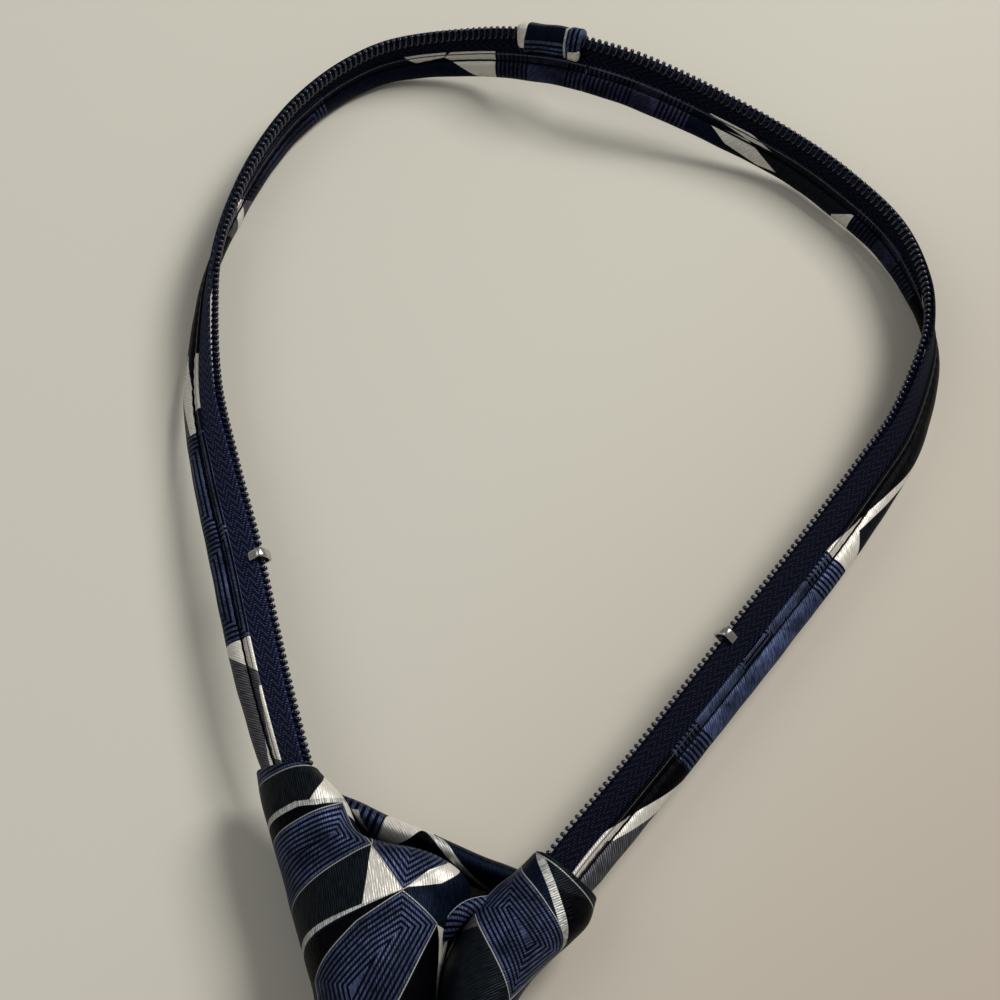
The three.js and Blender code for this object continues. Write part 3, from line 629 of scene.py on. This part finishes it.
place = (s - TAB_AT) / TAB_LONG + 0.5
hem = np.clip((place - (1 - TAB_HEM / TAB_LONG)) / 0.02, 0, 1)
fold = np.clip(np.minimum(place, 1 - place) / 0.05, 0, 1) ** 0.5
wall = TAB_WALL + TAB_SECOND * hem * hem * (3 - 2 * hem) + 0.0001 * np.sin(place * 13.0)
wall = TAB_EDGE + (wall - TAB_EDGE) * fold
outer = inner[None] + normal[None] * wall[:, None, None]
back = np.tile(inner[None, ::-1], (len(s), 1, 1))
ring = np.concatenate([outer, back], 1)
place3 = strap_place(s, ring[..., 0], ring[..., 1])
n = ring.shape[1]
arc = np.concatenate([[0.0], np.cumsum(np.linalg.norm(np.diff(inner, axis=0), axis=1))]) * 1000
arc = np.concatenate([arc, arc[::-1], arc[:1]])
along = np.tile((s * 1000 - TAB_AT * 1000)[:, None], (1, n + 1))
tab = skin("keeper_wrap", place3, along, np.tile(arc[None], (len(s), 1)))
tab.data.materials.append(satin("satin tab", NAVY, [
    (BLUE, [(-9.0, 11.4), (12.0, 11.4), (12.0, 22.0), (-9.0, 22.0)], False),
    (CREAM, [(-8.0, 3.0), (-5.4, 3.0), (-5.0, 9.0), (-5.9, 13.6), (-8.0, 13.6)], False),
    (SILVER, band(3.7, 4.2, 0.0, 0.0, -2.0, 20.0), False),
    (BLUE, band(4.3, 9.0, 0.0, 0.0, -1.0, 20.0), False),
    (CREAM, [(4.6, 20.0), (4.9, 13.2), (9.0, 12.4), (9.0, 20.0)], False),
], pitch=1.2))
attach(tab, "root")
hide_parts("keeper_tab")

# Knot front: the wide end of the tie wound over from the left shoulder and down the front, padded inside.
# The left strap goes into its mouth, whose edge is turned in; the right edge rolls into the knot's dimple.
# Every section is a rounded pad between a left and a right edge point, and the table flattens it below.
KNOT = np.array([0.035, 0.031, 0.024, 0.035, 0.031, 0.024, 0.024, 0.024])
FRONT_ROWS = KNOT * np.array([
    (-1.097, 0.765, 0.33, -0.785, 0.79, 0.79, 0.19, 0.19),
    (-1.030, 0.58, 0.34, -0.610, 0.64, 0.77, 0.27, 0.27),
    (-0.960, 0.40, 0.36, -0.470, 0.45, 0.68, 0.32, 0.38),
    (-0.875, 0.20, 0.37, -0.250, 0.40, 0.67, 0.38, 0.54),
    (-0.815, 0.05, 0.38, 0.010, 0.38, 0.63, 0.43, 0.62),
    (-0.770, -0.07, 0.39, 0.200, 0.26, 0.58, 0.46, 0.66),
    (-0.708, -0.20, 0.40, 0.185, 0.03, 0.58, 0.48, 0.68),
    (-0.605, -0.42, 0.41, 0.125, -0.22, 0.58, 0.48, 0.66),
    (-0.517, -0.62, 0.42, 0.130, -0.48, 0.57, 0.45, 0.60),
    (-0.480, -0.82, 0.42, 0.145, -0.76, 0.55, 0.41, 0.52),
    (-0.468, -0.98, 0.42, 0.150, -0.98, 0.52, 0.37, 0.46),
])
SLEEVE_WALL = 0.0009
LEFT_MOUTH_DEEP = 0.0052
LIP_TURN = 0.0009


def pad_ring(edges, inset, square, count):
    """Rounded rings between left and right edge points: half width and depth along two square directions,
    each times a power of cosine or sine. Nothing goes below the table."""
    left, right, crown, belly = edges[:, :3], edges[:, 3:6], edges[:, 6:7], edges[:, 7:8]
    side = right - left
    half = np.linalg.norm(side, axis=1)[:, None] / 2
    side = side / (2 * half)
    lift = np.array([0.0, 0.0, 1.0]) - side * side[:, 2:3]
    lift /= np.linalg.norm(lift, axis=1)[:, None]
    a = 2 * np.pi * np.arange(count) / count - np.pi / 2
    c = (np.sign(np.cos(a)) * np.abs(np.cos(a)) ** (2 / square))[None]
    w = (np.sign(np.sin(a)) * np.abs(np.sin(a)) ** (2 / square))[None]
    deep = np.where(w > 0, crown - inset, belly - inset)
    points = ((left + right) / 2)[:, None] + side[:, None] * ((half - inset) * c)[..., None]
    points = points + lift[:, None] * (w * deep)[..., None]
    points[..., 2] = np.maximum(points[..., 2], 0)
    return points


def wound(rows, into, deep, stations, count, creases):
    """Rings of a wound, padded part of the knot, from the bottom of its mouth over the turned-in edge and
    on to the lower lip, which turns in again. Creases press in near lines drawn on the part from above. The
    cloth map is the part seen from above, x and y in mm, with its steep sides rolled out flat."""
    middles = (rows[:, :3] + rows[:, 3:6]) / 2
    at = np.concatenate([[0.0], np.cumsum(np.linalg.norm(np.diff(middles[:, :2], axis=0), axis=1))])
    s = np.linspace(0, at[-1], stations)
    body = pad_ring(smooth_rows(at, rows, s), 0.0, 2.4, count)
    mouth = pad_ring(rows[:1], SLEEVE_WALL, 3.4, count)[0]
    roll = np.linspace(0, np.pi, 9)[:-1]
    rim = mouth + (body[0] - mouth) * ((1 - np.cos(roll)) / 2)[:, None, None]
    rim = rim - 0.00055 * np.sin(roll)[:, None, None] * into
    pocket = mouth + into * deep * np.array([1.0, 0.65, 0.3])[:, None, None]
    hub = body[-1].mean(0)
    turn = np.linspace(0, np.pi, 9)[1:]
    lip = body[-1] + (hub - body[-1]) * (0.055 * (1 - np.cos(turn)))[:, None, None]
    lip = lip + np.array([0.0, -LIP_TURN, 0.0]) * np.sin(turn)[:, None, None]
    inner = lip[-1:] + np.array([0.0, 0.003, 0.0])
    points = np.concatenate([pocket, rim, body, lip, inner])
    for (ax, ay), (bx, by), wide, deep in creases:
        p = points[..., :2] * 1000
        d = np.array([bx - ax, by - ay])
        t = np.clip(((p - (ax, ay)) @ d) / (d @ d), 0, 1)
        far = np.linalg.norm(p - (np.array([ax, ay]) + t[..., None] * d), axis=-1)
        ends = np.sin(np.pi * np.clip(t, 0.08, 0.92)) ** 0.6
        top = np.clip((points[..., 2] - 0.008) / 0.004, 0, 1)
        points[..., 2] -= 0.001 * deep * ends * top * np.exp(-((far / wide) ** 2))
    level = points[..., [0, 2]]
    step = np.linalg.norm(np.diff(level, axis=1, append=level[:, :1]), axis=2)
    arc = np.concatenate([np.zeros((len(points), 1)), np.cumsum(step, axis=1)], 1)
    top = count // 2
    across = (points[:, top:top + 1, 0] + arc[:, top:top + 1] - arc) * 1000
    down = np.concatenate([points[..., 1], points[:, :1, 1]], 1) * 1000
    return points, across, down


def strap_run(s):
    """Direction of the strap at s."""
    ends = strap_place(np.array([s - 0.0007, s + 0.0007]), np.zeros((2, 1)), np.zeros((2, 1)))[:, 0]
    return (ends[1] - ends[0]) / np.linalg.norm(ends[1] - ends[0])


FRONT_CREASES = [
    ((-22.0, 9.0), (-8.0, 12.5), 2.2, 0.9), ((-29.0, 8.0), (-13.0, 10.0), 3.5, 0.6),
    ((-3.0, 6.0), (5.0, -2.0), 2.6, 0.9), ((-12.0, -8.0), (2.0, -6.0), 5.0, 0.5),
]
rings, across, down = wound(FRONT_ROWS, -strap_run(0.0008), LEFT_MOUTH_DEEP, 200, 144, FRONT_CREASES)
front = skin("knot_front_cloth", rings, across, down)
front.data.materials.append(satin("satin front", NAVY, [
    (SLATE, [(-60.0, -4.0), (-24.0, 15.0), (-21.5, 27.0), (-60.0, 27.0)], False),
    (CREAM, [(-26.2, 16.9), (0.0, 16.0), (0.0, 34.0), (-18.0, 34.0)], False),
    (BLACK, [(-60.0, -5.3), (-18.5, 18.7), (-18.5, 19.2), (-29.0, 16.0), (-60.0, 2.5)], False),
    (SILVER, [(-60.0, 1.8), (-28.5, 15.7), (-28.9, 16.8), (-60.0, 3.2)], False),
    (SILVER, [(-28.7, 15.7), (-24.3, 16.5), (-24.5, 17.5), (-28.9, 16.7)], False),
    (SILVER, [(-24.5, 16.5), (-14.0, 20.4), (-14.0, 21.3), (-24.7, 17.5)], False),
    (BLACK, [(-60.0, -37.0), (-4.6, 2.2), (-4.6, 1.2), (-19.0, -16.0), (-60.0, -50.0)], False),
    (SLATE, [(-60.0, -34.0), (-20.8, -8.2), (-11.5, -2.3), (-12.3, 10.2), (-60.0, -10.0)], False),
    (CREAM, [(-11.8, -2.6), (-4.6, 2.2), (-12.4, 9.9)], False),
    (SILVER, [(-60.0, -33.9), (-25.5, -11.6), (-4.4, 2.2), (-25.7, -9.9), (-60.0, -31.0)], False),
    (BLACK, [(3.7, -2.7), (-6.4, -34.0), (40.0, -34.0), (40.0, -2.7)], False),
    (CREAM, [(3.8, -2.8), (9.0, -3.0), (14.5, -7.0), (14.0, -9.6), (9.0, -8.8)], False),
    (SILVER, [(9.0, -8.6), (14.5, -8.0), (18.5, -22.0), (13.5, -22.0)], False),
    (BLUE, [(-4.6, 1.7), (-12.2, -5.6), (-20.4, -17.2), (-11.5, -36.0), (-7.0, -36.0), (3.7, -2.7)], True),
    (BLUE, [(-12.4, 10.1), (-4.6, 2.2), (4.5, 10.6), (4.5, 30.0), (-12.4, 30.0)], True),
    (BLUE, [(-60.0, -28.0), (-12.7, 10.4), (-18.6, 18.6), (-60.0, -5.3)], True),
    (CREAM, [
        (-4.5, 2.1), (-3.4, 1.0), (-1.4, 1.5), (2.6, 5.0),
        (14.0, 9.0), (14.0, 14.0), (4.0, 10.0), (-0.4, 7.0),
    ], False),
    (BLUE, [(-60.0, 15.0), (-10.0, 29.7), (-10.0, 45.0), (-60.0, 45.0)], True),
], bias=(0.94, 0.34), pitch=0.95, core=8.1))
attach(front, "root")
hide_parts("knot_front")

# Tuck: the front's own edge, drawn down into the dimple as a short roll where the two turns meet.
# It is a rounded tube of cloth along a bent line that dies away in the folds at both ends.
TUCK_ROWS = 0.001 * np.array([
    (4.2, -4.6, 15.4, 1.0), (4.9, -2.8, 16.9, 1.6), (6.1, -0.2, 17.7, 1.8), (7.8, 2.0, 17.5, 1.7),
    (10.1, 3.6, 16.7, 1.5), (12.6, 4.6, 15.6, 1.3), (15.2, 5.0, 13.7, 0.9),
])
s = np.linspace(0, 1, 70)
line = smooth_rows(np.linspace(0, 1, len(TUCK_ROWS)), TUCK_ROWS, s)
run = np.gradient(line[:, :3], axis=0)
run /= np.linalg.norm(run, axis=1)[:, None]
beside = np.cross(run, (0.0, 0.0, 1.0))
beside /= np.linalg.norm(beside, axis=1)[:, None]
above = np.cross(beside, run)
a = 2 * np.pi * np.arange(40) / 40 - np.pi / 2
ends = np.clip(np.minimum(s, 1 - s) / 0.06, 0.03, 1)[:, None] ** 0.5
wide = line[:, 3:] * ends
ring = np.cos(a)[None, :, None] * beside[:, None] + 0.72 * np.sin(a)[None, :, None] * above[:, None]
rings = line[:, None, :3] + ring * wide[..., None]
step = np.linalg.norm(np.diff(rings, axis=1, append=rings[:, :1]), axis=2)
arc = np.concatenate([np.zeros((70, 1)), np.cumsum(step, axis=1)], 1) * 1000
tuck = skin("knot_tuck_cloth", rings, np.tile(s[:, None] * 19.0, (1, 41)), arc[:, 20:21] - arc)
tuck.data.materials.append(satin("satin tuck", NAVY, [
    (BLUE, [(-12.0, -20.0), (40.0, -20.0), (40.0, 20.0), (12.0, 20.0)], False),
    (NAVY, [(-1.0, -1.4), (-1.0, -30.0), (30.0, -30.0), (30.0, -1.4)], True),
], pitch=1.15))
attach(tuck, "root")

# Right wing of the knot: the tie's other turn, which comes from behind over the right shoulder.
# It tucks in beside the front and leaves a deep dimple between them.
WING_ROWS = KNOT * np.array([
    (0.555, 0.490, 0.76, 0.905, 0.320, 0.37, 0.18, 0.18),
    (0.470, 0.370, 0.70, 0.885, 0.170, 0.36, 0.25, 0.27),
    (0.340, 0.240, 0.63, 0.812, 0.030, 0.37, 0.32, 0.37),
    (0.238, 0.080, 0.57, 0.728, -0.100, 0.38, 0.37, 0.49),
    (0.185, -0.100, 0.53, 0.645, -0.240, 0.39, 0.38, 0.50),
    (0.156, -0.300, 0.52, 0.578, -0.400, 0.40, 0.38, 0.50),
    (0.162, -0.550, 0.52, 0.518, -0.620, 0.41, 0.37, 0.49),
    (0.167, -0.790, 0.50, 0.500, -0.820, 0.42, 0.35, 0.42),
    (0.163, -0.980, 0.48, 0.485, -0.980, 0.42, 0.32, 0.42),
])
WING_CREASES = [((11.0, 3.0), (15.0, -6.0), 2.2, 0.7)]
RIGHT_MOUTH_DEEP = 0.007
into = strap_run(STRAP_LONG - 0.0008)
rings, across, down = wound(WING_ROWS, into, RIGHT_MOUTH_DEEP, 150, 120, WING_CREASES)
wing = skin("knot_wing_cloth", rings, across, down)
wing.data.materials.append(satin("satin wing", NAVY, [
    (BLACK, [(32.0, -7.0), (60.0, -34.0), (60.0, 9.0), (24.0, 8.6)], False),
    (SLATE, [(24.0, 8.4), (60.0, 9.0), (60.0, 30.0), (17.0, 30.0)], False),
    (SILVER, [(16.6, 17.2), (36.0, -12.5), (38.8, -12.5), (18.2, 17.4)], False),
    (SLATE, [(8.0, 1.8), (20.2, -13.8), (20.2, -34.0), (-20.0, -34.0), (-20.0, 4.0)], False),
    # Painted highlight: a lighter slate patch on the wing's left flank beside the tuck.
    (SHEEN_SLATE, [(4.0, 3.0), (8.2, 2.2), (11.0, -1.4), (5.0, -2.5)], False),
    (BLUE, [(8.0, 2.4), (20.3, -13.9), (31.5, -2.5), (14.6, 12.4)], True),
    (SLATE, [(10.0, 18.7), (46.0, 2.9), (46.0, 30.0), (10.0, 30.0)], True),
], bias=(0.6, -0.8), pitch=0.88, core=6.6))
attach(wing, "root")
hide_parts("knot_right_wing")

# Roll behind the knot: the turn of cloth that crosses under the V and closes it.
# It stands on its lower edge and slopes down to the right.
BAND_ROWS = np.array([0.035, 0.031, 0.015]) * np.array([
    (-0.660, 0.670, 0.82), (-0.500, 0.625, 0.88), (-0.330, 0.562, 0.93), (-0.120, 0.502, 1.00),
    (0.090, 0.442, 0.98), (0.260, 0.395, 0.96), (0.400, 0.370, 0.92), (0.500, 0.350, 0.86),
])
BAND_HALF = 0.0026
BAND_LIFT = 0.0003
s = np.linspace(0, 1, 90)
line = smooth_rows(np.linspace(0, 1, len(BAND_ROWS)), BAND_ROWS, s)
a = 2 * np.pi * np.arange(56) / 56
thin = np.clip(np.minimum(s, 1 - s) / 0.03, 0.05, 1)[:, None] ** 0.5
y = BAND_HALF * np.sign(np.cos(a)) * np.abs(np.cos(a)) ** 0.8
z = np.sign(np.sin(a)) * np.abs(np.sin(a)) ** 0.9
rings = np.stack([
    np.tile(line[:, :1], (1, 56)), line[:, 1:2] + y[None] * thin,
    BAND_LIFT + line[:, 2:3] / 2 * (1 + z[None] * thin),
], -1)
step = np.linalg.norm(np.diff(rings, axis=1, append=rings[:, :1]), axis=2)
arc = np.concatenate([np.zeros((90, 1)), np.cumsum(step, axis=1)], 1) * 1000
long = np.linalg.norm(line[-1] - line[0]) * 1000
roll = skin("knot_roll_cloth", rings, np.tile(s[:, None] * long, (1, 57)), arc[:, 14:15] - arc)
roll.data.materials.append(satin("satin roll", NAVY, [
    (BLUE, [(-30.0, -20.0), (7.8, -20.0), (15.4, 20.0), (-30.0, 20.0)], True),
    (CREAM, [(8.0, -20.0), (30.0, -20.0), (22.0, 20.0), (15.6, 20.0)], False),
    (BLACK, [(18.2, 1.6), (8.0, -15.0), (37.0, -15.0), (19.0, 1.6)], False),
    (NAVY, [(20.0, 1.6), (38.0, -14.0), (60.0, -14.0), (60.0, 20.0), (20.0, 20.0)], False),
    (SILVER, [(18.4, 1.8), (37.6, -14.6), (39.5, -14.6), (21.4, 1.8)], False),
    (SILVER, [(4.6, -0.6), (8.4, -5.0), (8.9, -5.0), (6.0, -0.2)], False),
], pitch=1.5))
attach(roll, "root")
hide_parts("knot_back_band")

# Blades: the tail lies flat under the front blade, and both come out of the knot's lower lip.
# Each is satin folded over a soft lining with rolled side edges, sewn shut along the middle of its back.
# The front blade leaves the knot thick and dimpled, widens, lies down past the tail and ends in a point.
FRONT_LONG = 0.480
FRONT_HALF = 0.041
FRONT_DEEP = 0.0125
FRONT_SWING = -0.005
TAIL_LONG = 0.330
TAIL_HALF = 0.015
TAIL_DEEP = 0.0026
TAIL_SWING = -0.003
LIP_AT = -0.0314
TAIL_SHARE = TAIL_LONG / FRONT_LONG
FRONT_BLADE = [
    (0.000, 0.37, 0.848, 1.000, 0.200), (0.030, 0.42, 0.784, 0.880, 0.224),
    (0.080, 0.48, 0.640, 0.608, 0.176), (0.150, 0.54, 0.520, 0.416, 0.088),
    (0.250, 0.61, 0.448, 0.320, 0.024), (0.450, 0.75, 0.416, 0.272, 0.000),
    (TAIL_SHARE - 0.07, 0.86, 0.408, 0.264, 0.0), (TAIL_SHARE, 0.91, 0.372, 0.256, 0.0),
    (TAIL_SHARE + 0.06, 0.94, 0.180, 0.256, 0.0), (TAIL_SHARE + 0.11, 0.96, 0.128, 0.256, 0.0),
    (0.915, 1.00, 0.128, 0.256, 0.000),
]
LOZENGES = ((2.0, -40.0), (20.5, 16.0), (-11.0, 12.5))
TAIL_BLADE = [
    (0.000, 0.66, 0.5, 1.0, 0.0), (0.200, 0.78, 0.5, 1.0, 0.0), (0.600, 0.92, 0.5, 1.0, 0.0),
    (0.954, 1.00, 0.5, 1.0, 0.0),
]


def blade_rings(rows, long, wide, deep, swing, start):
    """Rings of a blade from the knot to its point: flat rounded sections whose middle sinks near the knot.
    Past the last row the width falls evenly to nothing, which makes the point."""
    rows = np.array(rows)
    shoulder = rows[-1, 0]
    point = shoulder + (1 - shoulder) * np.linspace(0.02, 0.995, 40)
    down = np.concatenate([np.linspace(0, shoulder, int(long / 0.0024)), point])
    values = smooth_rows(rows[:, 0], rows[:, 1:], np.minimum(down, shoulder))
    half, mid, thick, dip = (values * np.array([wide, deep, deep, deep])).T[..., None]
    narrow = np.clip((1 - down) / (1 - shoulder), 0, 1)[:, None]
    a = 2 * np.pi * np.arange(128) / 128
    c = np.sign(np.cos(a)) * np.abs(np.cos(a)) ** 0.6
    w = np.sign(np.sin(a)) * np.abs(np.sin(a)) ** 0.42
    sink = np.where(w > 0, dip * np.exp(-((c / 0.3) ** 2)), 0)
    seam = np.where(w < 0, 0.0003 * np.exp(-((half * narrow * c / 0.0008) ** 2)), 0)
    x = swing * np.sin(np.pi / 2 * down)[:, None] + half * narrow * c
    edge = np.minimum(1, 0.25 + 0.75 * narrow * 4)
    z = np.maximum(mid + thick / 2 * w * edge - sink, 0) + seam
    y = np.tile((LIP_AT - long * down)[:, None], (1, 128))
    y[0] += start
    rings = np.stack([x, y, z], -1)
    u = np.concatenate([x, x[:, :1]], 1) * 1000
    return rings, u, np.concatenate([y, y[:, :1]], 1) * 1000


FRONT_SIZES = (FRONT_LONG, FRONT_HALF, FRONT_DEEP, FRONT_SWING, 0.0008)
TAIL_SIZES = (TAIL_LONG, TAIL_HALF, TAIL_DEEP, TAIL_SWING, 0.0)
for name, node, rows, size in (
    ("front_blade_cloth", "front_blade", FRONT_BLADE, FRONT_SIZES),
    ("tail_blade_cloth", "tail_blade", TAIL_BLADE, TAIL_SIZES),
):
    rings, u, v = blade_rings(rows, *size)
    blade = skin(name, rings, u, v)
    look = satin("satin " + node.replace("_", " "), NAVY, [], bias=(0.94, 0.34), repeat=LOZENGES)
    blade.data.materials.append(look)
    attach(blade, "root")
    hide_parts(node)

# The floor is a plain pale sheet, painted darker and warmer towards the front right as painted shade where
# the light falls off.
# Two soft lamps stand over it, and the camera looks down at the loop as the photograph does.
FLOOR_COOL = (0.574, 0.551, 0.482)
FLOOR_SHADED = (0.460, 0.400, 0.332)
FLOOR_HALF = 4.0
FLOOR_LEVEL = -0.0002
stage_look, tree, shader, u, v = material("pale floor", 0.6)
where = tree.nodes.new("ShaderNodeTexCoord")
split = tree.nodes.new("ShaderNodeSeparateXYZ")
tree.links.new(where.outputs["Object"], split.inputs[0])
# Painted shade: the floor's colour turns darker and warmer towards the front right.
share = calc(tree, "MULTIPLY_ADD", split.outputs[0], 4.5, 0.375)
share = ramp(tree, calc(tree, "MULTIPLY_ADD", split.outputs[1], -2.5, share), 1.0, 0.0)
square = calc(tree, "MULTIPLY", share, share)
share = calc(tree, "MULTIPLY", square, calc(tree, "MULTIPLY_ADD", share, -2.0, 3.0))
colour = mixed(tree, share, FLOOR_COOL, FLOOR_SHADED)
tree.links.new(colour, shader.inputs["Base Color"])
shader.inputs["Specular IOR Level"].default_value = 0.1
floor_mesh = bpy.data.meshes.new("floor")
corners = [(x * FLOOR_HALF, y * FLOOR_HALF, FLOOR_LEVEL) for x, y in ((-1, -1), (1, -1), (1, 1), (-1, 1))]
floor_mesh.from_pydata(corners, [], [(0, 1, 2, 3)])
floor = bpy.data.objects.new("floor", floor_mesh)
bpy.context.scene.collection.objects.link(floor)
floor.data.materials.append(stage_look)


def lamp(name, place, aim, size, power, tint):
    """Square soft lamp at a place, turned to its aim."""
    light = bpy.data.lights.new(name, "AREA")
    light.size = size
    light.energy = power
    light.color = tint
    holder = bpy.data.objects.new(name, light)
    holder.location = place
    holder.rotation_euler = (Vector(aim) - Vector(place)).to_track_quat("-Z", "Y").to_euler()
    bpy.context.scene.collection.objects.link(holder)


lamp("window", (1.0, 1.1, 1.4), (0.0, 0.05, 0.0), 0.8, 39.0, (1.0, 0.985, 0.95))
lamp("room", (-0.5, 0.0, 0.7), (0.0, 0.05, 0.0), 0.6, 1.3, (0.95, 0.97, 1.0))
world = bpy.data.worlds.new("studio")
world.use_nodes = True
world.node_tree.nodes["Background"].inputs[0].default_value = (0.93, 0.93, 0.9, 1.0)
world.node_tree.nodes["Background"].inputs[1].default_value = 0.22
bpy.context.scene.world = world
bpy.context.scene.view_settings.view_transform = "Standard"

eye = Vector((0.03435, -0.11126, 0.43681))
ahead = (Vector((-0.00265, 0.09855, 0.0)) - eye).normalized()
right = Vector((np.cos(np.radians(10)), np.sin(np.radians(10)), 0.0))
up = right.cross(ahead)
turn = Matrix((right, up, -ahead)).transposed()
lens = bpy.data.cameras.new("camera")
lens.lens = 79.2
lens.sensor_width = 36
camera = bpy.data.objects.new("camera", lens)
camera.matrix_world = Matrix.Translation(eye) @ turn.to_4x4()
bpy.context.scene.collection.objects.link(camera)
bpy.context.scene.camera = camera
